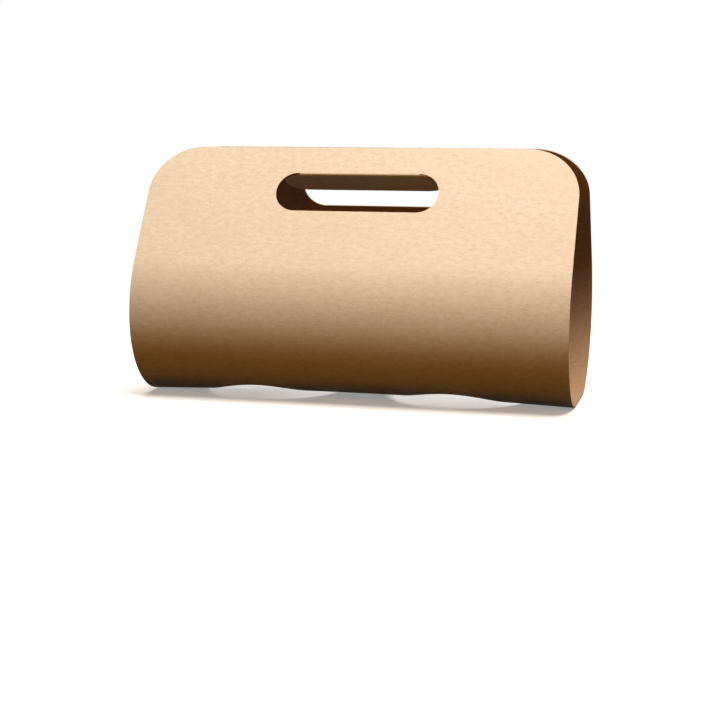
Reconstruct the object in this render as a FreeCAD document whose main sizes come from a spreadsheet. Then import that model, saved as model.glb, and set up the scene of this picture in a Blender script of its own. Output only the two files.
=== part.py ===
# Carrier for two drinking cups, die-cut from one sheet of plain kraft board.
# The sheet is bent into an open loop: a belly that stands on its flat base and has two round
# cup holes, and two straight panels that lean together towards the top. Each panel has a long
# hand slot with round ends. The slot's cut-out stays on, hinged along the slot's upper edge,
# and is folded into the loop, where it pads the grip.
# Millimetres. The loop runs along X, its front panel faces -Y, and Z is up.
# The origin is on the plane it stands on, below the middle of the loop.

import FreeCAD, Part
import math
import os

import Sketcher

# Driving sizes: name, value, meaning
SIZES = [
    ("carrier_length", 230.0, "length of the loop along X"),
    ("board_thickness", 0.6, "thickness of the board"),
    ("base_width", 28.0, "width of the flat base at each end, across the loop"),
    ("belly_radius", 43.0, "outer radius from the base up to the widest level, at each end"),
    ("keel_angle", 50.0, "part of the belly's quarter turn that changes with the base, in degrees"),
    ("shoulder_radius", 60.0, "outer radius from the widest level up to the straight panel"),
    ("panel_lean", 31.0, "lean of each straight panel from upright, in degrees"),
    ("panel_height", 68.0, "straight panel from the shoulder to the top edge, along the board"),
    ("middle_lift", 3.5, "rise of the base at the middle of the length over its two ends"),
    ("corner_radius", 27.5, "round of the four top corners"),
    ("cup_hole_diameter", 74.5, "round hole that takes a cup"),
    ("cup_hole_spacing", 104.0, "distance between the centres of the two cup holes"),
    ("slot_length", 87.0, "hand slot, overall"),
    ("slot_height", 22.5, "hand slot, across"),
    ("slot_drop", 26.5, "middle line of the hand slot below the top edge, along the board"),
    ("flap_turn", 99.0, "turn of each slot flap out of its panel, in degrees"),
    ("fold_radius", 0.5, "inner radius of the flap's fold"),
]

# Places that follow from the driving sizes. The widest level is where belly meets shoulder.
HALF_DEPTH = "(Sizes.base_width / 2 + Sizes.belly_radius)"
SHOULDER_CENTRE = f"({HALF_DEPTH} - Sizes.shoulder_radius)"
TOP_OUT = (
    f"({SHOULDER_CENTRE} + Sizes.shoulder_radius * cos(Sizes.panel_lean)"
    " - Sizes.panel_height * sin(Sizes.panel_lean))"
)
TOP_UP = (
    "(Sizes.belly_radius + Sizes.shoulder_radius * sin(Sizes.panel_lean)"
    " + Sizes.panel_height * cos(Sizes.panel_lean))"
)

# The fold's axis runs along X, inside the panel and level with the slot's upper edge.
HINGE_DROP = "(Sizes.slot_drop - Sizes.slot_height / 2)"
HINGE_HALF = "((Sizes.slot_length - Sizes.slot_height) / 2)"
AXIS_DEPTH = "(Sizes.board_thickness + Sizes.fold_radius)"
AXIS_OUT = (
    f"({TOP_OUT} + {HINGE_DROP} * sin(Sizes.panel_lean) - {AXIS_DEPTH} * cos(Sizes.panel_lean))"
)
AXIS_UP = (
    f"({TOP_UP} - {HINGE_DROP} * cos(Sizes.panel_lean) - {AXIS_DEPTH} * sin(Sizes.panel_lean))"
)
FLAP_TILT = "(Sizes.flap_turn - Sizes.panel_lean)"
FLAP_REACH = f"(Sizes.slot_height - {AXIS_DEPTH})"

START, END, CENTRE = 1, 2, 3
ORIGIN = (-1, 1)
X_AXIS = FreeCAD.Vector(1, 0, 0)
Z_AXIS = FreeCAD.Vector(0, 0, 1)

doc = FreeCAD.newDocument("carrier")
sizes = doc.addObject("Spreadsheet::Sheet", "Sizes")
for row, (alias, value, meaning) in enumerate(SIZES, start=1):
    sizes.set(f"A{row}", alias)
    sizes.set(f"B{row}", str(value))
    sizes.set(f"C{row}", meaning)
    sizes.setAlias(f"B{row}", alias)
doc.recompute()

body = doc.addObject("PartDesign::Body", "CupCarrier")
body.Label = "cup_carrier"


def number(expression):
    """The value of an expression in the driving sizes."""
    return float(body.evalExpression(expression))


def origin_plane(role):
    """The body's own plane of that role."""
    return next(plane for plane in body.Origin.OriginFeatures if plane.Role == role)


def new_sketch(name, role):
    """An empty sketch on one of the body's own planes."""
    sketch = body.newObject("Sketcher::SketchObject", name)
    sketch.AttachmentSupport = [(origin_plane(role), "")]
    sketch.MapMode = "FlatFace"
    return sketch


def front_sketch(name, up, out, turn):
    """A sketch whose plane runs along X and faces the front, at a height and a distance out.

    turn tips its upward direction out towards the front, in degrees.
    """
    sketch = new_sketch(name, "XZ_Plane")
    tipped = FreeCAD.Rotation(X_AXIS, number(turn))
    sketch.AttachmentOffset = FreeCAD.Placement(FreeCAD.Vector(0, 0, 0), tipped)
    sketch.setExpression("AttachmentOffset.Base.y", up)
    sketch.setExpression("AttachmentOffset.Base.z", out)
    sketch.setExpression("AttachmentOffset.Rotation.Angle", turn)
    return sketch


def line(sketch, start, end):
    """A straight edge from start to end, each (across, up)."""
    first = FreeCAD.Vector(*start, 0)
    return sketch.addGeometry(Part.LineSegment(first, FreeCAD.Vector(*end, 0)))


def arc(sketch, centre, radius, first, last):
    """A round edge, anticlockwise from the first angle to the last, in degrees."""
    circle = Part.Circle(FreeCAD.Vector(*centre, 0), Z_AXIS, radius)
    return sketch.addGeometry(Part.ArcOfCircle(circle, math.radians(first), math.radians(last)))


def side_arc(sketch, side, centre, radius, first, last):
    """An arc given by its angles on the back half, mirrored for the front half."""
    if side > 0:
        return arc(sketch, centre, radius, first, last)
    return arc(sketch, centre, radius, 180 - last, 180 - first)


def relate(sketch, kind, *arguments):
    """A relation between edges, without a size."""
    sketch.addConstraint(Sketcher.Constraint(kind, *arguments))


def tie(sketch, name, kind, arguments, expression):
    """A named dimension that follows the driving sizes."""
    index = sketch.addConstraint(Sketcher.Constraint(kind, *arguments, number(expression)))
    sketch.renameConstraint(index, name)
    sketch.setExpression(f"Constraints.{name}", expression)


def keel_outer_radius(lift):
    """Outer radius of the keel, which still meets the belly in line when the base is raised."""
    return f"(Sizes.belly_radius - {lift} / (1 - cos(Sizes.keel_angle)))"


def keel_centre_out(lift):
    """Distance of the keel's centre from the middle plane, which is also the flat's half width."""
    return (
        f"(Sizes.base_width / 2 + {lift} * sin(Sizes.keel_angle) / (1 - cos(Sizes.keel_angle)))"
    )


def half_face(sketch, side, lift, inset, name):
    """Half of one face of the bent board, from the base up to the top of the panel.

    side is 1 for the back half and -1 for the front half. lift is the rise of the base at this
    section, and inset is how far the face lies inside the outer one. Keel, belly and shoulder
    are arcs that run into each other without a corner, belly and shoulder meet upright at the
    widest level, and the panel leaves the shoulder in line. Only the keel follows a raised
    base: it turns more sharply, and the flat base grows wider.
    """
    belly_out = f"{side} * Sizes.base_width / 2"
    belly_radius = f"Sizes.belly_radius - {inset}"
    keel_out = f"{side} * {keel_centre_out(lift)}"
    keel_up = f"{lift} + {keel_outer_radius(lift)}"
    keel_end = f"{belly_out} + {side} * ({belly_radius}) * sin(Sizes.keel_angle)"
    keel_radius = f"{keel_outer_radius(lift)} - {inset}"
    shoulder_out = f"{side} * {SHOULDER_CENTRE}"
    shoulder_radius = f"Sizes.shoulder_radius - {inset}"

    widest = number("Sizes.belly_radius")
    turned, lean = number("Sizes.keel_angle"), number("Sizes.panel_lean")
    low, high = (START, END) if side > 0 else (END, START)
    keel_centre = (number(keel_out), number(keel_up))
    keel = side_arc(sketch, side, keel_centre, number(keel_radius), -90, turned - 90)
    belly_centre = (number(belly_out), widest)
    belly = side_arc(sketch, side, belly_centre, number(belly_radius), turned - 90, 0)
    shoulder_centre = (number(shoulder_out), widest)
    shoulder = side_arc(sketch, side, shoulder_centre, number(shoulder_radius), 0, lean)
    foot = sketch.getPoint(shoulder, high)
    rise = number("Sizes.panel_height * cos(Sizes.panel_lean)")
    run = number(f"{side} * Sizes.panel_height * sin(Sizes.panel_lean)")
    panel = line(sketch, (foot.x, foot.y), (foot.x - run, foot.y + rise))

    tie(sketch, f"{name}_keel_out", "DistanceX", (*ORIGIN, keel, CENTRE), keel_out)
    tie(sketch, f"{name}_keel_up", "DistanceY", (*ORIGIN, keel, CENTRE), keel_up)
    tie(sketch, f"{name}_keel_end", "DistanceX", (*ORIGIN, belly, low), keel_end)
    tie(sketch, f"{name}_belly_out", "DistanceX", (*ORIGIN, belly, CENTRE), belly_out)
    tie(sketch, f"{name}_widest", "DistanceY", (*ORIGIN, belly, CENTRE), "Sizes.belly_radius")
    tie(sketch, f"{name}_shoulder_out", "DistanceX", (*ORIGIN, shoulder, CENTRE), shoulder_out)
    tie(sketch, f"{name}_panel_height", "Distance", (panel,), "Sizes.panel_height")
    tie(sketch, f"{name}_panel_rise", "DistanceY", (panel, START, panel, END),
        "Sizes.panel_height * cos(Sizes.panel_lean)")
    relate(sketch, "Vertical", keel, CENTRE, keel, low)
    relate(sketch, "Coincident", keel, high, belly, low)
    relate(sketch, "Horizontal", belly, CENTRE, belly, high)
    relate(sketch, "Horizontal", belly, CENTRE, shoulder, CENTRE)
    relate(sketch, "Coincident", belly, high, shoulder, low)
    relate(sketch, "Tangent", shoulder, high, panel, START)
    return keel, panel, low


def loop_section(name, along, lift):
    """The closed section of the bent board at one place along the loop."""
    sketch = new_sketch(name, "YZ_Plane")
    sketch.setExpression("AttachmentOffset.Base.z", along)
    panels = []
    for face, inset in (("outer", "0"), ("inner", "Sizes.board_thickness")):
        front_keel, front_panel, front_low = half_face(sketch, -1, lift, inset, f"{face}_front")
        back_keel, back_panel, back_low = half_face(sketch, 1, lift, inset, f"{face}_back")
        flat_end = number(keel_centre_out(lift))
        flat_up = number(f"{lift} + {inset}")
        flat = line(sketch, (-flat_end, flat_up), (flat_end, flat_up))
        relate(sketch, "Coincident", flat, START, front_keel, front_low)
        relate(sketch, "Coincident", flat, END, back_keel, back_low)
        panels.append((front_panel, back_panel))
    for outer, inner in zip(*panels):
        outer_top = sketch.getPoint(outer, END)
        inner_top = sketch.getPoint(inner, END)
        top = line(sketch, (outer_top.x, outer_top.y), (inner_top.x, inner_top.y))
        relate(sketch, "Coincident", top, START, outer, END)
        relate(sketch, "Coincident", top, END, inner, END)
    return sketch


def bent_board():
    """The whole loop: the end sections stand flat, and the base is raised between them."""
    left = loop_section("LeftEnd", "-Sizes.carrier_length / 2", "0")
    middle = loop_section("Middle", "0", "Sizes.middle_lift")
    right = loop_section("RightEnd", "Sizes.carrier_length / 2", "0")
    loop = body.newObject("PartDesign::AdditiveLoft", "Loop")
    loop.Profile = left
    loop.Sections = [middle, right]
    doc.recompute()


def cut_out(outline, name, depth, upward=False):
    """Cuts an outline out of the board, and makes sure that board was taken away."""
    before = body.Tip.Shape.Volume
    pocket = body.newObject("PartDesign::Pocket", name)
    pocket.Profile = outline
    pocket.Reversed = upward
    pocket.setExpression("Length", depth)
    doc.recompute()
    if pocket.Shape.Volume >= before:
        raise ValueError(f"{name} takes nothing away")
    return pocket


def cup_holes():
    """Two round holes cut straight up through the base, no higher than the widest level."""
    outlines = new_sketch("CupHoleOutlines", "XY_Plane")
    radius = "Sizes.cup_hole_diameter / 2"
    for side, name in ((-1, "left"), (1, "right")):
        along = f"{side} * Sizes.cup_hole_spacing / 2"
        centre = FreeCAD.Vector(number(along), 0, 0)
        hole = outlines.addGeometry(Part.Circle(centre, Z_AXIS, number(radius)))
        tie(outlines, f"{name}_along", "DistanceX", (*ORIGIN, hole, CENTRE), along)
        tie(outlines, f"{name}_radius", "Radius", (hole,), radius)
        relate(outlines, "PointOnObject", hole, CENTRE, ORIGIN[0])
    return cut_out(outlines, "CupHoles", "Sizes.belly_radius", upward=True)


def round_ended(sketch, radius, middle):
    """An outline as long as the hinge between its two half-round ends."""
    half, r, up = number(HINGE_HALF), number(radius), number(middle)
    top = line(sketch, (half, up + r), (-half, up + r))
    left = arc(sketch, (-half, up), r, 90, 270)
    bottom = line(sketch, (-half, up - r), (half, up - r))
    right = arc(sketch, (half, up), r, 270, 450)
    edges = (top, left, bottom, right)
    for edge, following in zip(edges, edges[1:] + edges[:1]):
        relate(sketch, "Tangent", edge, END, following, START)
    relate(sketch, "Horizontal", top)
    tie(sketch, "left_along", "DistanceX", (*ORIGIN, left, CENTRE), f"-1 * {HINGE_HALF}")
    tie(sketch, "right_along", "DistanceX", (*ORIGIN, right, CENTRE), HINGE_HALF)
    tie(sketch, "middle_up", "DistanceY", (*ORIGIN, left, CENTRE), middle)
    tie(sketch, "end_radius", "Radius", (left,), radius)


def hand_slot():
    """The front panel's slot, drawn on its outer face from the top edge down."""
    outline = front_sketch("HandSlotOutline", TOP_UP, TOP_OUT, "-1 * Sizes.panel_lean")
    round_ended(outline, "Sizes.slot_height / 2", "-1 * Sizes.slot_drop")
    return cut_out(outline, "HandSlot", "2 * Sizes.board_thickness")


def flap_fold():
    """The bend from the slot's upper edge into the loop: the board's edge, swung round."""
    edge = front_sketch("FoldEdge", AXIS_UP, AXIS_OUT, "90 - Sizes.panel_lean")
    half = number(HINGE_HALF)
    near, far = number("Sizes.fold_radius"), number(AXIS_DEPTH)
    corners = [(-half, near), (half, near), (half, far), (-half, far)]
    sides = [line(edge, a, b) for a, b in zip(corners, corners[1:] + corners[:1])]
    for side, following in zip(sides, sides[1:] + sides[:1]):
        relate(edge, "Coincident", side, END, following, START)
    for level in sides[0::2]:
        relate(edge, "Horizontal", level)
    for upright in sides[1::2]:
        relate(edge, "Vertical", upright)
    tie(edge, "left_end", "DistanceX", (*ORIGIN, sides[0], START), f"-1 * {HINGE_HALF}")
    tie(edge, "right_end", "DistanceX", (*ORIGIN, sides[0], END), HINGE_HALF)
    tie(edge, "inner_radius", "DistanceY", (*ORIGIN, sides[0], START), "Sizes.fold_radius")
    tie(edge, "outer_radius", "DistanceY", (*ORIGIN, sides[2], START), AXIS_DEPTH)
    fold = body.newObject("PartDesign::Revolution", "FlapFold")
    fold.Profile = edge
    fold.ReferenceAxis = (edge, ["H_Axis"])
    fold.setExpression("Angle", "Sizes.flap_turn")
    doc.recompute()
    return fold


def flap_beyond_fold():
    """The slot's cut-out, flat beyond the fold, drawn on its inner face."""
    up = f"{AXIS_UP} - Sizes.fold_radius * sin{FLAP_TILT}"
    out = f"{AXIS_OUT} + Sizes.fold_radius * cos{FLAP_TILT}"
    outline = front_sketch("FlapOutline", up, out, FLAP_TILT)
    round_ended(outline, f"{FLAP_REACH} / 2", f"-1 * {FLAP_REACH} / 2")
    flap = body.newObject("PartDesign::Pad", "Flap")
    flap.Profile = outline
    flap.setExpression("Length", "Sizes.board_thickness")
    doc.recompute()
    return flap


def repeat_in_back(features):
    """The same features in the back panel."""
    back = body.newObject("PartDesign::Mirrored", "BackPanel")
    back.Originals = features
    back.MirrorPlane = (origin_plane("XZ_Plane"), [""])
    body.Tip = back
    doc.recompute()
    return back


def round_top_corners(base):
    """Rounds the panels' corners at the four short edges that cross the board there."""
    end, thickness = number("Sizes.carrier_length / 2"), number("Sizes.board_thickness")
    near = 0.001
    corner_edges = []
    for index, edge in enumerate(base.Shape.Edges, start=1):
        at_end = abs(abs(edge.CenterOfMass.x) - end) < near
        if at_end and abs(edge.Length - thickness) < near:
            corner_edges.append(f"Edge{index}")
    corners = body.newObject("PartDesign::Fillet", "TopCorners")
    corners.Base = (base, corner_edges)
    corners.setExpression("Radius", "Sizes.corner_radius")
    body.Tip = corners
    doc.recompute()


def check():
    """Stops when a feature failed, or when the board isn't one sound solid."""
    for item in doc.Objects:
        if "Invalid" in item.State or "Error" in item.State:
            raise ValueError(f"{item.Name} is {item.State}")
    shape = body.Shape
    if shape.isNull() or not shape.isValid() or len(shape.Solids) != 1:
        raise ValueError(f"{body.Label} isn't one valid solid")


bent_board()
cup_holes()
slot = hand_slot()
fold = flap_fold()
flap = flap_beyond_fold()
back_panel = repeat_in_back([slot, fold, flap])
round_top_corners(back_panel)
check()

os.makedirs("parts", exist_ok=True)
body.Shape.exportStep(f"parts/{body.Label}.step")
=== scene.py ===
import math

import bpy
import numpy as np
from mathutils import Matrix, Vector


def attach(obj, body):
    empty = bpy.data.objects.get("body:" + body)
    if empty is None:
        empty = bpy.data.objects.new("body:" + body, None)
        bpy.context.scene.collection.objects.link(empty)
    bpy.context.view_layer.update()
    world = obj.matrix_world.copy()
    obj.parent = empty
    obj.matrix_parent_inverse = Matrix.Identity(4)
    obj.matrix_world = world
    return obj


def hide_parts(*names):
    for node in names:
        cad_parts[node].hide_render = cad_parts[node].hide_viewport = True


MM = 0.001

# Sizes of the carrier in millimetres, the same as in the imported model.
LENGTH = 230.0
BOARD = 0.6
FLAT = 14.0
BELLY_RADIUS = 43.0
KEEL_ANGLE = math.radians(50.0)
SHOULDER_RADIUS = 60.0
LEAN = math.radians(31.0)
PANEL = 68.0
MIDDLE_LIFT = 3.5
CORNER_RADIUS = 27.5
HOLE_RADIUS = 37.25
HOLE_X = 52.0
SLOT_DROP = 26.5
SLOT_RADIUS = 11.25
SLOT_HALF = 32.25
FLAP_TURN = math.radians(99.0)
FOLD_RADIUS = 1.1
FLAP_RADIUS = 10.7

# Distances along the outer face from the centre line to the end of each part of the section.
KEEL_END = FLAT + BELLY_RADIUS * KEEL_ANGLE
BELLY_END = FLAT + BELLY_RADIUS * math.pi / 2
SHOULDER_END = BELLY_END + SHOULDER_RADIUS * LEAN
TOP = SHOULDER_END + PANEL
FOLD_LENGTH = FOLD_RADIUS * FLAP_TURN
FLAP_TIP = FOLD_LENGTH + 2 * FLAP_RADIUS
HINGE_DROP = SLOT_DROP - SLOT_RADIUS

# Blocks of the flat sheet, and how many cells each one takes.
SLOT_BLOCK_X = 60.0
SLOT_BLOCK_DROP = 2 * SLOT_DROP
SLOT_BLOCK_LOW = TOP - SLOT_BLOCK_DROP
COLUMNS_MIDDLE = 34
COLUMNS_OUTER = 32
ROWS_PANEL = 30
ROWS_RISE = 44
ROWS_KEEL = 60
HOLE_RINGS = 16
SLOT_RINGS = 9
HINGE_CELLS = 54
FOLD_CELLS = 6
FLAP_CELLS = 12
# Greatest depth of the board's slow waves. The base is tilted a little at its ends, so its inner face
# would stand out past the length by END_INSET, and the whole sheet is drawn in by it.
WARP = 0.35
END_INSET = 0.04

# The waves start at this distance from the centre line and are full after the ramp.
STILL_BASE = 20.0
WARP_RAMP = 60.0

# Points of two grids that agree to this many digits of a millimetre are one point.
WELD_DIGITS = 3

# Part of each ring grid's spacing that is even. The rest grows with the distance from the inner edge.
RING_EVEN = 0.7

# Edges that turn by more than this are cut edges of the board, and are shaded as sharp ones.
CUT_EDGE_TURN = math.radians(50)

# Linear colours of the paper, and how its darker and paler fibres differ from it.
OUTER = (0.75, 0.645, 0.525)
# The inner face is the same kraft, darkened here as painted shade for the dim inside of the carrier.
INNER_PAINTED_SHADE = (0.40, 0.24, 0.14)
EDGE = (0.36, 0.245, 0.145)
EDGE_DARK = (0.216, 0.147, 0.087)
FLECK = (0.30, 0.17, 0.08)
WORN = (0.86, 0.72, 0.54)
DARK_FIBRE = (0.86, 0.80, 0.72)
PALE_FIBRE = (0.85, 0.86, 0.88)

# Noises of the paper: waves per 100 mm along and across the fibres, detail and roughness.
CLOUDS = ((3, 5, 1), 3, 0.6)
MOTTLE = ((22, 48, 1), 4, 0.7)
FIBRES = ((32, 112, 1), 4, 0.7)
GRAIN = ((110, 170, 1), 3, 0.7)
FLECKS = ((40, 260, 1), 1, 0.4)
PALE_FLECKS = ((55, 230, 1), 1, 0.4)
FOLD_CRACKS = ((90, 30, 1), 3, 0.7)
# Waves per metre along x, y and z in the cut edge's streaks.
EDGE_STREAKS = ((900, 5200, 5200), 3, 0.6)

# Camera at the photo's place: the angles it looks along, its turn about that line and its lens.
CAMERA_PLACE = (193.0, -777.1, 138.8)
CAMERA_YAW = 14.25
CAMERA_PITCH = 8.61
CAMERA_ROLL = 0.32
CAMERA_LENS = 74.33
SENSOR_WIDTH = 36

# Lamps: place and target in millimetres, side in millimetres, power in watts and colour.
LAMPS = {
    "top": ((60, -90, 1080), (0, 0, 70), 350, 4.4, (0.95, 0.98, 1)),
    "key": ((40, -240, 1050), (0, 0, 70), 700, 6.5, (1, 0.97, 0.9)),
    "right key": ((400, -400, 950), (0, 0, 70), 400, 5.1, (1, 0.92, 0.78)),
    "warm": ((60, -800, 400), (0, 0, 30), 260, 1.4, (1, 0.42, 0)),
    "back": ((-350, 800, 520), (0, 0, 60), 500, 5.0, (1, 0.9, 0.78)),
    "side": ((560, 60, 760), (110, 0, 10), 260, 2.3, (1, 0.95, 0.9)),
}
AROUND = 0.01
AROUND_COLOUR = (1.0, 0.62, 0.12, 1)
WHITE = (1, 1, 1, 1)

# Floor: half its side in metres, its colours to the camera and to the object's light, the glow that
# brings it up to white, and the distances in metres between which it turns into plain white.
FLOOR_HALF = 4
FLOOR_SEEN = (0.92, 0.92, 0.92, 1)
FLOOR_UNSEEN = (0.03, 0.015, 0.004, 1)
FLOOR_GLOW = 0.3
FLOOR_NEAR, FLOOR_FAR = 0.2, 0.5


def section(x, w):
    """Outer face of the bent sheet at the places x along the carrier and w from its centre line.

    The middle of the base is lifted by MIDDLE_LIFT * (1 - (2x / LENGTH)^2). The keel arc keeps its
    angle, so its radius is the belly radius less lift / (1 - cos keel angle), and the flat base
    widens by lift * sin / (1 - cos). Gives out, up and the outward normal's angle from straight down.
    """
    lift = MIDDLE_LIFT * (1 - (2 * x / LENGTH) ** 2)
    spread = 1 - math.cos(KEEL_ANGLE)
    keel_out = FLAT + lift * math.sin(KEEL_ANGLE) / spread
    keel_radius = BELLY_RADIUS - lift / spread
    angle = np.clip((w - FLAT) / BELLY_RADIUS, 0, math.pi / 2)
    angle = angle + np.clip((w - BELLY_END) / SHOULDER_RADIUS, 0, LEAN)
    belly = angle > KEEL_ANGLE
    shoulder = angle > math.pi / 2
    radius = np.where(shoulder, SHOULDER_RADIUS, np.where(belly, BELLY_RADIUS, keel_radius))
    centre = np.where(shoulder, FLAT + BELLY_RADIUS - SHOULDER_RADIUS, np.where(belly, FLAT, keel_out))
    height = np.where(belly, BELLY_RADIUS, lift + keel_radius)
    out = centre + radius * np.sin(angle)
    up = height - radius * np.cos(angle)
    out = np.where(w < FLAT, w / FLAT * keel_out, out)
    up = np.where(w < FLAT, lift, up)
    beyond = np.clip(w - SHOULDER_END, 0, None)
    return out + beyond * np.cos(angle), up + beyond * np.sin(angle), angle


def hole_edge(turn):
    """Flat-sheet place of the point at the angle turn on a cup hole's rim, seen from above.

    The rim is a circle in plan. Where it is past the flat base, w is FLAT + BELLY_RADIUS * the angle
    whose sine is (y - keel_out) / keel_radius.
    """
    x = HOLE_X + HOLE_RADIUS * np.cos(turn)
    y = HOLE_RADIUS * np.sin(turn)
    lift = MIDDLE_LIFT * (1 - (2 * x / LENGTH) ** 2)
    spread = 1 - math.cos(KEEL_ANGLE)
    keel_out = FLAT + lift * math.sin(KEEL_ANGLE) / spread
    keel_radius = BELLY_RADIUS - lift / spread
    past = np.clip((np.abs(y) - keel_out) / keel_radius, 0, 1)
    on_flat = np.abs(y) / keel_out * FLAT
    w = np.where(np.abs(y) < keel_out, on_flat, FLAT + BELLY_RADIUS * np.arcsin(past))
    return np.stack([x, np.sign(y) * w], 1)


def straight(a, b, cells):
    """Points evenly spaced from a to b, both ends included."""
    t = np.linspace(0, 1, cells + 1)[:, None]
    return (1 - t) * np.array(a, float) + t * np.array(b, float)


def round_arc(centre, radius, start, end, cells):
    """Points on a circle arc, from the angle start to the angle end in degrees."""
    turn = np.radians(np.linspace(start, end, cells + 1))
    return np.array(centre, float) + radius * np.stack([np.cos(turn), np.sin(turn)], 1)


def joined(*runs):
    """Runs of points end to end, the shared points kept once."""
    return np.concatenate([runs[0]] + [r[1:] for r in runs[1:]])


def spaced(stops, cells):
    """Numbers from the first stop to the last, with that many even cells between each two stops."""
    return joined(*[np.linspace(a, b, n + 1) for a, b, n in zip(stops, stops[1:], cells)])


def ring(inner, outer, rings):
    """Grid between two closed outlines with the same count of points.

    Layer k is at the share RING_EVEN * t + (1 - RING_EVEN) * t^2 from inner to outer, where t is
    k / rings, so the layers are closer near the inner one.
    """
    t = np.linspace(0, 1, rings + 1)[:, None, None]
    t = RING_EVEN * t + (1 - RING_EVEN) * t * t
    return (1 - t) * inner[None] + t * outer[None]


def filled(top, bottom, left, right):
    """Grid that meets four edges: both straight blends added, less the blend of the four corners."""
    u = np.linspace(0, 1, len(top))[None, :, None]
    v = np.linspace(0, 1, len(left))[:, None, None]
    across = (1 - u) * left[:, None] + u * right[:, None]
    down = (1 - v) * top[None] + v * bottom[None]
    corners = (1 - u) * (1 - v) * top[0] + u * (1 - v) * top[-1]
    corners = corners + (1 - u) * v * bottom[0] + u * v * bottom[-1]
    return across + down - corners


def developed(points):
    """Places (x, s) on the flat sheet, where a flap point goes on from the hinge towards the base."""
    x, s, f = np.moveaxis(points, -1, 0)
    return np.stack([x, s + np.where(s < 0, f, -f)], -1)


def turns_inward(grid):
    """True if the grid's cells run anticlockwise on the flat sheet, and so face inwards."""
    flat = developed(grid)
    one = flat[1:, 1:] - flat[:-1, :-1]
    other = flat[1:, :-1] - flat[:-1, 1:]
    return np.sum(one[..., 0] * other[..., 1] - one[..., 1] * other[..., 0]) > 0


def mirrored(grid, over_x=True, over_s=True):
    """The grid as (x, s, f) and its mirror images over x = 0 and s = 0, all facing outwards."""
    if grid.shape[2] == 2:
        grid = np.concatenate([grid, np.zeros(grid.shape[:2] + (1,))], 2)
    copies = []
    for sx in (1, -1) if over_x else (1,):
        for ss in (1, -1) if over_s else (1,):
            turned = grid * np.array([sx, ss, 1.0])
            copies.append(turned[:, ::-1] if turns_inward(turned) else turned)
    return copies


def base_grid(xs):
    """Half of the base and its keel arcs, as rings of cells round the cup hole."""
    half = LENGTH / 2
    side_rows = np.linspace(-KEEL_END, KEEL_END, ROWS_KEEL + 1)
    right = np.stack([np.full(ROWS_KEEL + 1, half), side_rows], 1)
    upper = np.stack([xs[::-1], np.full(len(xs), KEEL_END)], 1)
    left = np.stack([np.zeros(ROWS_KEEL + 1), side_rows[::-1]], 1)
    lower = np.stack([xs, np.full(len(xs), -KEEL_END)], 1)
    outer = joined(right, upper, left, lower)
    near, far = math.atan2(KEEL_END, half - HOLE_X), math.atan2(KEEL_END, -HOLE_X)
    stops = [-near, near, far, 2 * math.pi - far, 2 * math.pi - near]
    cells = [ROWS_KEEL, len(xs) - 1, ROWS_KEEL, len(xs) - 1]
    return ring(hole_edge(spaced(stops, cells)), outer, HOLE_RINGS)


def wall_grid(xs):
    """The belly, the shoulder and the lower panel."""
    stops = [KEEL_END, BELLY_END, SHOULDER_END, SLOT_BLOCK_LOW]
    rise = SLOT_BLOCK_LOW - KEEL_END
    cells = [round(ROWS_RISE * (b - a) / rise) for a, b in zip(stops, stops[1:])]
    return np.stack(np.meshgrid(xs, spaced(stops, cells)), 2)


def corner_grid():
    """The panel outside the slot's block, up to its rounded corner."""
    half = LENGTH / 2
    arc_x, arc_s = half - CORNER_RADIUS, TOP - CORNER_RADIUS
    run, rise = arc_x - SLOT_BLOCK_X, CORNER_RADIUS * math.pi / 4
    flat_cells = round(COLUMNS_OUTER * run / (run + rise))
    top = joined(
        straight((SLOT_BLOCK_X, TOP), (arc_x, TOP), flat_cells),
        round_arc((arc_x, arc_s), CORNER_RADIUS, 90, 45, COLUMNS_OUTER - flat_cells),
    )
    drop = SLOT_BLOCK_DROP - CORNER_RADIUS
    arc_cells = round(ROWS_PANEL * rise / (rise + drop))
    right = joined(
        round_arc((arc_x, arc_s), CORNER_RADIUS, 45, 0, arc_cells),
        straight((half, arc_s), (half, SLOT_BLOCK_LOW), ROWS_PANEL - arc_cells),
    )
    bottom = straight((SLOT_BLOCK_X, SLOT_BLOCK_LOW), (half, SLOT_BLOCK_LOW), COLUMNS_OUTER)
    left = straight((SLOT_BLOCK_X, TOP), (SLOT_BLOCK_X, SLOT_BLOCK_LOW), ROWS_PANEL)
    return filled(top, bottom, left, right)


def slot_grid():
    """The slot's block of the panel, as rings of cells round the slot."""
    middle = TOP - SLOT_DROP
    right, left = (SLOT_HALF, middle), (-SLOT_HALF, middle)
    above, below = middle + SLOT_RADIUS, middle - SLOT_RADIUS
    corner_cells = COLUMNS_MIDDLE - HINGE_CELLS // 2
    edge = joined(
        round_arc(right, SLOT_RADIUS, -45, 45, ROWS_PANEL),
        round_arc(right, SLOT_RADIUS, 45, 90, corner_cells),
        straight((SLOT_HALF, above), (-SLOT_HALF, above), HINGE_CELLS),
        round_arc(left, SLOT_RADIUS, 90, 135, corner_cells),
        round_arc(left, SLOT_RADIUS, 135, 225, ROWS_PANEL),
        round_arc(left, SLOT_RADIUS, 225, 270, corner_cells),
        straight((-SLOT_HALF, below), (SLOT_HALF, below), HINGE_CELLS),
        round_arc(right, SLOT_RADIUS, 270, 315, corner_cells),
    )
    wide, low = SLOT_BLOCK_X, SLOT_BLOCK_LOW
    outer = joined(
        straight((wide, low), (wide, TOP), ROWS_PANEL),
        straight((wide, TOP), (-wide, TOP), 2 * COLUMNS_MIDDLE),
        straight((-wide, TOP), (-wide, low), ROWS_PANEL),
        straight((-wide, low), (wide, low), 2 * COLUMNS_MIDDLE),
    )
    return ring(edge, outer, SLOT_RINGS)


def on_flap(grid):
    """A grid of (x, f) as one of (x, s, f), hinged at the slot's upper edge."""
    return np.stack([grid[..., 0], np.full(grid.shape[:2], TOP - HINGE_DROP), grid[..., 1]], 2)


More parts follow.
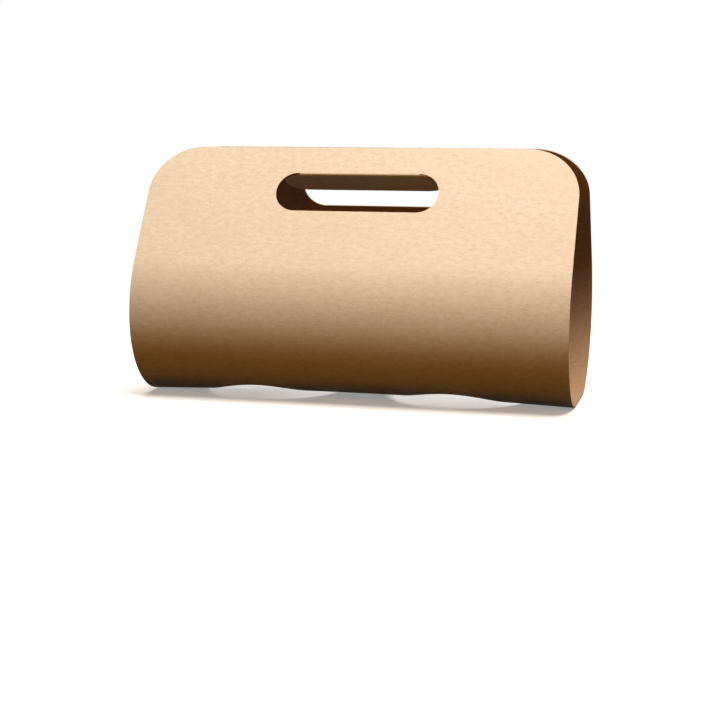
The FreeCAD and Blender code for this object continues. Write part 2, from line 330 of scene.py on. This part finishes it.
def flap_plate():
    """The fold and the flap's straight part beyond it."""
    along = np.linspace(-SLOT_HALF, SLOT_HALF, HINGE_CELLS + 1)
    down = spaced([0, FOLD_LENGTH, FLAP_TIP], [FOLD_CELLS, FLAP_CELLS])
    return on_flap(np.stack(np.meshgrid(along, down), 2))


def flap_end():
    """The flap's round end beyond the fold."""
    centre = (SLOT_HALF, FOLD_LENGTH + FLAP_RADIUS)
    return on_flap(
        filled(
            round_arc(centre, FLAP_RADIUS, -90, -45, FLAP_CELLS // 2),
            round_arc(centre, FLAP_RADIUS, 90, 45, FLAP_CELLS // 2),
            straight((SLOT_HALF, FOLD_LENGTH), (SLOT_HALF, FLAP_TIP), FLAP_CELLS),
            round_arc(centre, FLAP_RADIUS, -45, 45, FLAP_CELLS),
        )
    )


def sheet_grids():
    """The whole flat sheet as grids of (x, s, f): s is the signed distance from the centre line, and f
    the distance from the hinge along a slot flap."""
    xs = spaced([0, SLOT_BLOCK_X, LENGTH / 2], [COLUMNS_MIDDLE, COLUMNS_OUTER])
    return (
        mirrored(base_grid(xs), over_s=False)
        + mirrored(wall_grid(xs))
        + mirrored(corner_grid())
        + mirrored(slot_grid(), over_x=False)
        + mirrored(flap_plate(), over_x=False)
        + mirrored(flap_end())
    )


def waves(x, s):
    """Slow waves between 0 and 1 over the flat sheet, for the board's slight unevenness."""
    total = np.sin(x / 31 + s / 47 + 0.6) + np.sin(x / 53 - s / 23 + 2.1)
    total = total + 0.6 * np.sin(x / 17 + s / 71 + 4.0) + 0.4 * np.sin(s / 13 - x / 61)
    return 0.5 + total / 6


def bent(points):
    """Places in millimetres of flat-sheet points (x, s, f).

    A flap point turns by f / FOLD_RADIUS about the fold's axis, which lies FOLD_RADIUS inside the
    outer face, and past the fold it goes straight on.
    """
    x, s, f = points.T
    w = np.abs(s)
    out, up, angle = section(x, w)
    turned = np.clip(f, 0, FOLD_LENGTH) / FOLD_RADIUS
    beyond = np.clip(f - FOLD_LENGTH, 0, None)
    normal = np.stack([np.sin(angle), -np.cos(angle)], 1)
    downward = -np.stack([np.cos(angle), np.sin(angle)], 1)
    place = np.stack([out, up], 1) - FOLD_RADIUS * normal
    away = np.cos(turned)[:, None] * normal + np.sin(turned)[:, None] * downward
    ahead = -np.sin(turned)[:, None] * normal + np.cos(turned)[:, None] * downward
    place = place + FOLD_RADIUS * away + beyond[:, None] * ahead
    depth = WARP * waves(x, s) * np.clip((w - STILL_BASE) / WARP_RAMP, 0, 1)
    place = place - depth[:, None] * normal
    side = np.where(s < 0, -1.0, 1.0)
    return np.stack([x * (1 - 2 * END_INSET / LENGTH), side * place[:, 0], place[:, 1]], 1)


def welded(grids):
    """One set of flat-sheet points and the quads between them, with shared points kept once."""
    points, faces, start = [], [], 0
    for grid in grids:
        rows, columns = grid.shape[:2]
        index = start + np.arange(rows * columns).reshape(rows, columns)
        quads = np.stack([index[:-1, :-1], index[:-1, 1:], index[1:, 1:], index[1:, :-1]], 2)
        points.append(grid.reshape(-1, 3))
        faces.append(quads.reshape(-1, 4))
        start += rows * columns
    points, faces = np.concatenate(points), np.concatenate(faces)
    places = np.round(points, WELD_DIGITS) + 0.0
    _, first, back = np.unique(places, axis=0, return_index=True, return_inverse=True)
    return points[first], back.reshape(-1)[faces]


def fold_share(flat):
    """How much of the fold each point is on: 1 in the middle of a flap's fold, and 0 off it."""
    x, s, f = flat.T
    on_hinge = (np.abs(np.abs(s) - (TOP - HINGE_DROP)) < 0.01) & (np.abs(x) <= SLOT_HALF)
    share = np.clip(1 - np.abs(f - FOLD_LENGTH / 2) / FOLD_LENGTH, 0, 1)
    return np.where(on_hinge, share, 0)


def make_sheet(materials):
    """The whole bent sheet with the board's thickness, its UV in units of 100 mm of the flat sheet."""
    flat, faces = welded(sheet_grids())
    mesh = bpy.data.meshes.new("cup_carrier_sheet")
    mesh.from_pydata((bent(flat) * MM).tolist(), [], faces.tolist())
    mesh.polygons.foreach_set("use_smooth", np.ones(len(faces), bool))
    uv = developed(flat) / 100
    layer = mesh.uv_layers.new(name="sheet")
    layer.data.foreach_set("uv", uv[faces.reshape(-1)].astype(np.float32).ravel())
    fold = mesh.attributes.new("fold", "FLOAT", "POINT")
    fold.data.foreach_set("value", fold_share(flat).astype(np.float32))
    for material in materials:
        mesh.materials.append(material)
    mesh.validate()
    sheet = bpy.data.objects.new("sheet", mesh)
    bpy.context.scene.collection.objects.link(sheet)
    thick = sheet.modifiers.new("board", "SOLIDIFY")
    thick.thickness = BOARD * MM
    thick.offset = -1
    thick.use_even_offset = True
    thick.material_offset = 1
    thick.material_offset_rim = 2
    crisp = sheet.modifiers.new("crisp cut edges", "EDGE_SPLIT")
    crisp.use_edge_sharp = False
    crisp.split_angle = CUT_EDGE_TURN
    return sheet


def add_node(tree, kind, **values):
    """A node of that kind with its named settings and sockets set."""
    node = tree.nodes.new(kind)
    for name, value in values.items():
        if hasattr(node, name):
            setattr(node, name, value)
        else:
            node.inputs[name].default_value = value
    return node


def noise(tree, place, settings):
    """Noise between 0 and 1 over a place. The settings are waves per unit, detail and roughness."""
    stretch, detail, rough = settings
    scaled = add_node(tree, "ShaderNodeMapping", Scale=stretch)
    tree.links.new(place, scaled.inputs["Vector"])
    made = add_node(tree, "ShaderNodeTexNoise", Scale=1.0, Detail=detail, Roughness=rough)
    tree.links.new(scaled.outputs["Vector"], made.inputs["Vector"])
    return made.outputs["Fac"]


def ranged(tree, value, low, high, new_low, new_high):
    """The value taken from low..high to new_low..new_high, and held at the ends."""
    node = tree.nodes.new("ShaderNodeMapRange")
    for index, number in enumerate((low, high, new_low, new_high), start=1):
        node.inputs[index].default_value = number
    tree.links.new(value, node.inputs[0])
    return node.outputs[0]


def maths(tree, operation, *values):
    """One sum, product or the like of numbers and node outputs."""
    node = add_node(tree, "ShaderNodeMath", operation=operation)
    for socket, value in zip(node.inputs, values):
        if isinstance(value, (int, float)):
            socket.default_value = value
        else:
            tree.links.new(value, socket)
    return node.outputs[0]


def tinted(tree, base, share, colour):
    """The base colour, moved to another colour by the share."""
    node = add_node(tree, "ShaderNodeMix", data_type="RGBA")
    tree.links.new(share, node.inputs["Factor"])
    if isinstance(base, tuple):
        node.inputs[6].default_value = (*base, 1)
    else:
        tree.links.new(base, node.inputs[6])
    node.inputs[7].default_value = (*colour, 1)
    return node.outputs[2]


def paper(name, rough, specular):
    """New paper material: its material, its node tree and its shader."""
    material = bpy.data.materials.new(name)
    material.use_nodes = True
    tree = material.node_tree
    shader = tree.nodes["Principled BSDF"]
    shader.inputs["Roughness"].default_value = rough
    shader.inputs["Specular IOR Level"].default_value = specular
    return material, tree, shader


def worn_fold(tree, sheet, tone):
    """The tone, worn paler and cracked a little along each flap's fold."""
    fold = add_node(tree, "ShaderNodeAttribute", attribute_name="fold")
    cracks = ranged(tree, noise(tree, sheet, FOLD_CRACKS), 0.35, 0.7, 0.05, 0.6)
    return tinted(tree, tone, maths(tree, "MULTIPLY", fold.outputs["Fac"], cracks), WORN)


def kraft(name, colour, seed, with_fold):
    """Kraft paper face: fine fibres along the carrier, cloudy tone, grain and a few dark flecks.

    The waves are counted per 100 mm of the flat sheet, so the fibres follow the bends.
    """
    material, tree, shader = paper(name, 0.88, 0.25)
    sheet = add_node(tree, "ShaderNodeUVMap", uv_map="sheet").outputs["UV"]
    shift = add_node(tree, "ShaderNodeMapping", Location=(seed, 2 * seed, 0))
    tree.links.new(sheet, shift.inputs["Vector"])
    place = shift.outputs["Vector"]
    fibres = noise(tree, place, FIBRES)
    grain = noise(tree, place, GRAIN)

    darker = tuple(c * k for c, k in zip(colour, DARK_FIBRE))
    lighter = tuple(1 - (1 - c) * k for c, k in zip(colour, PALE_FIBRE))
    layers = (
        (noise(tree, place, CLOUDS), 0.35, 0.75, 0.35, darker),
        (noise(tree, place, MOTTLE), 0.42, 0.68, 0.85, darker),
        (fibres, 0.5, 0.7, 0.6, darker),
        (fibres, 0.5, 0.3, 0.45, lighter),
        (grain, 0.5, 0.75, 0.9, darker),
        (noise(tree, place, FLECKS), 0.70, 0.78, 0.55, FLECK),
        (noise(tree, place, PALE_FLECKS), 0.70, 0.80, 0.5, lighter),
    )
    tone = colour
    for value, start, full, share, other in layers:
        tone = tinted(tree, tone, ranged(tree, value, start, full, 0, share), other)
    if with_fold:
        tone = worn_fold(tree, sheet, tone)
    tree.links.new(tone, shader.inputs["Base Color"])

    raised = maths(tree, "MULTIPLY", fibres, 0.6)
    relief = maths(tree, "ADD", raised, maths(tree, "MULTIPLY", grain, 0.4))
    bump = add_node(tree, "ShaderNodeBump", Strength=0.6, Distance=0.0001)
    tree.links.new(relief, bump.inputs["Height"])
    tree.links.new(bump.outputs["Normal"], shader.inputs["Normal"])
    return material


def cut_edge():
    """Die-cut edge: layers of fibre, seen as fine streaks along the edge."""
    material, tree, shader = paper("kraft cut edge", 0.95, 0.15)
    place = add_node(tree, "ShaderNodeTexCoord").outputs["Object"]
    streaks = ranged(tree, noise(tree, place, EDGE_STREAKS), 0.4, 0.7, 0, 0.6)
    tree.links.new(tinted(tree, EDGE, streaks, EDGE_DARK), shader.inputs["Base Color"])
    return material


def photo_camera():
    """Camera at the photo's place."""
    camera = bpy.data.objects.new("camera", bpy.data.cameras.new("camera"))
    camera.data.lens = CAMERA_LENS
    camera.data.sensor_width = SENSOR_WIDTH
    turn = Matrix.Rotation(math.radians(CAMERA_YAW), 4, "Z")
    turn = turn @ Matrix.Rotation(math.radians(90 - CAMERA_PITCH), 4, "X")
    turn = turn @ Matrix.Rotation(math.radians(CAMERA_ROLL), 4, "Z")
    camera.matrix_world = Matrix.Translation(Vector(CAMERA_PLACE) * MM) @ turn
    bpy.context.scene.collection.objects.link(camera)
    bpy.context.scene.camera = camera


def lamp(name, place, target, size, power, colour):
    """Square soft light at place, aimed at target, both in millimetres."""
    data = bpy.data.lights.new(name, "AREA")
    data.size, data.energy, data.color = size * MM, power, colour
    light = bpy.data.objects.new(name, data)
    light.location = Vector(place) * MM
    aim = (Vector(target) - Vector(place)).to_track_quat("-Z", "Y")
    light.rotation_euler = aim.to_euler()
    bpy.context.scene.collection.objects.link(light)


def blended(tree, share, first, second):
    """Mix of two shaders by the share of the second."""
    mix = tree.nodes.new("ShaderNodeMixShader")
    for socket, value in zip(mix.inputs, (share, first, second)):
        tree.links.new(value, socket)
    return mix.outputs[0]


def by_ray(tree, seen, unseen):
    """Joins two shaders: one for rays that show the surface, the other for light on the object."""
    rays = tree.nodes.new("ShaderNodeLightPath")
    shows = maths(tree, "MAXIMUM", rays.outputs["Is Camera Ray"], rays.outputs["Is Glossy Ray"])
    shows = maths(tree, "MAXIMUM", shows, rays.outputs["Is Transmission Ray"])
    return blended(tree, shows, unseen, seen)


def studio_world():
    """White behind the object, and a weak warm light from all round on it."""
    world = bpy.data.worlds.new("studio")
    world.use_nodes = True
    tree = world.node_tree
    around = tree.nodes["Background"]
    around.inputs["Color"].default_value = AROUND_COLOUR
    around.inputs["Strength"].default_value = AROUND
    white = add_node(tree, "ShaderNodeBackground", Color=WHITE, Strength=1.0)
    shown = by_ray(tree, white.outputs[0], around.outputs[0])
    tree.links.new(shown, tree.nodes["World Output"].inputs["Surface"])
    bpy.context.scene.world = world


def studio_floor():
    """Floor that takes the object's shadow near it and is plain white farther out."""
    half = FLOOR_HALF
    corners = [(-half, -half, 0), (half, -half, 0), (half, half, 0), (-half, half, 0)]
    mesh = bpy.data.meshes.new("floor")
    mesh.from_pydata(corners, [], [(0, 1, 2, 3)])
    floor = bpy.data.objects.new("floor", mesh)
    bpy.context.scene.collection.objects.link(floor)
    material = bpy.data.materials.new("floor")
    material.use_nodes = True
    tree = material.node_tree
    tree.nodes.remove(tree.nodes["Principled BSDF"])
    lit = add_node(tree, "ShaderNodeBsdfDiffuse", Color=FLOOR_SEEN)
    dark = add_node(tree, "ShaderNodeBsdfDiffuse", Color=FLOOR_UNSEEN)
    glow = add_node(tree, "ShaderNodeEmission", Color=WHITE, Strength=FLOOR_GLOW)
    white = add_node(tree, "ShaderNodeEmission", Color=WHITE, Strength=1.0)
    near = tree.nodes.new("ShaderNodeAddShader")
    tree.links.new(lit.outputs[0], near.inputs[0])
    tree.links.new(glow.outputs[0], near.inputs[1])
    place = add_node(tree, "ShaderNodeTexCoord").outputs["Object"]
    reach = add_node(tree, "ShaderNodeVectorMath", operation="LENGTH")
    tree.links.new(place, reach.inputs[0])
    farther = ranged(tree, reach.outputs["Value"], FLOOR_NEAR, FLOOR_FAR, 0, 1)
    seen = blended(tree, farther, near.outputs[0], white.outputs[0])
    shown = by_ray(tree, seen, dark.outputs[0])
    tree.links.new(shown, tree.nodes["Material Output"].inputs["Surface"])
    mesh.materials.append(material)


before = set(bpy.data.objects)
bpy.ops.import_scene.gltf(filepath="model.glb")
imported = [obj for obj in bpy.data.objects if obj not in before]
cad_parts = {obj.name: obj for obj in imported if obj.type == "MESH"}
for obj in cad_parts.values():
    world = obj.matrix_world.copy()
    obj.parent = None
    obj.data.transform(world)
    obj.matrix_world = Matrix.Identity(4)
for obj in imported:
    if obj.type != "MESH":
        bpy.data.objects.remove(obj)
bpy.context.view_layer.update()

outer_face = kraft("kraft outer face", OUTER, 0.0, with_fold=True)
# The inner face's material has painted shade in its darkened colour.
inner_face_painted_shade = kraft("kraft inner face painted shade", INNER_PAINTED_SHADE, 7.3, with_fold=False)
sheet = make_sheet([outer_face, inner_face_painted_shade, cut_edge()])
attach(sheet, "root")
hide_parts("cup_carrier")

photo_camera()
for name, settings in LAMPS.items():
    lamp(name, *settings)
studio_world()
studio_floor()
bpy.context.scene.view_settings.view_transform = "Standard"
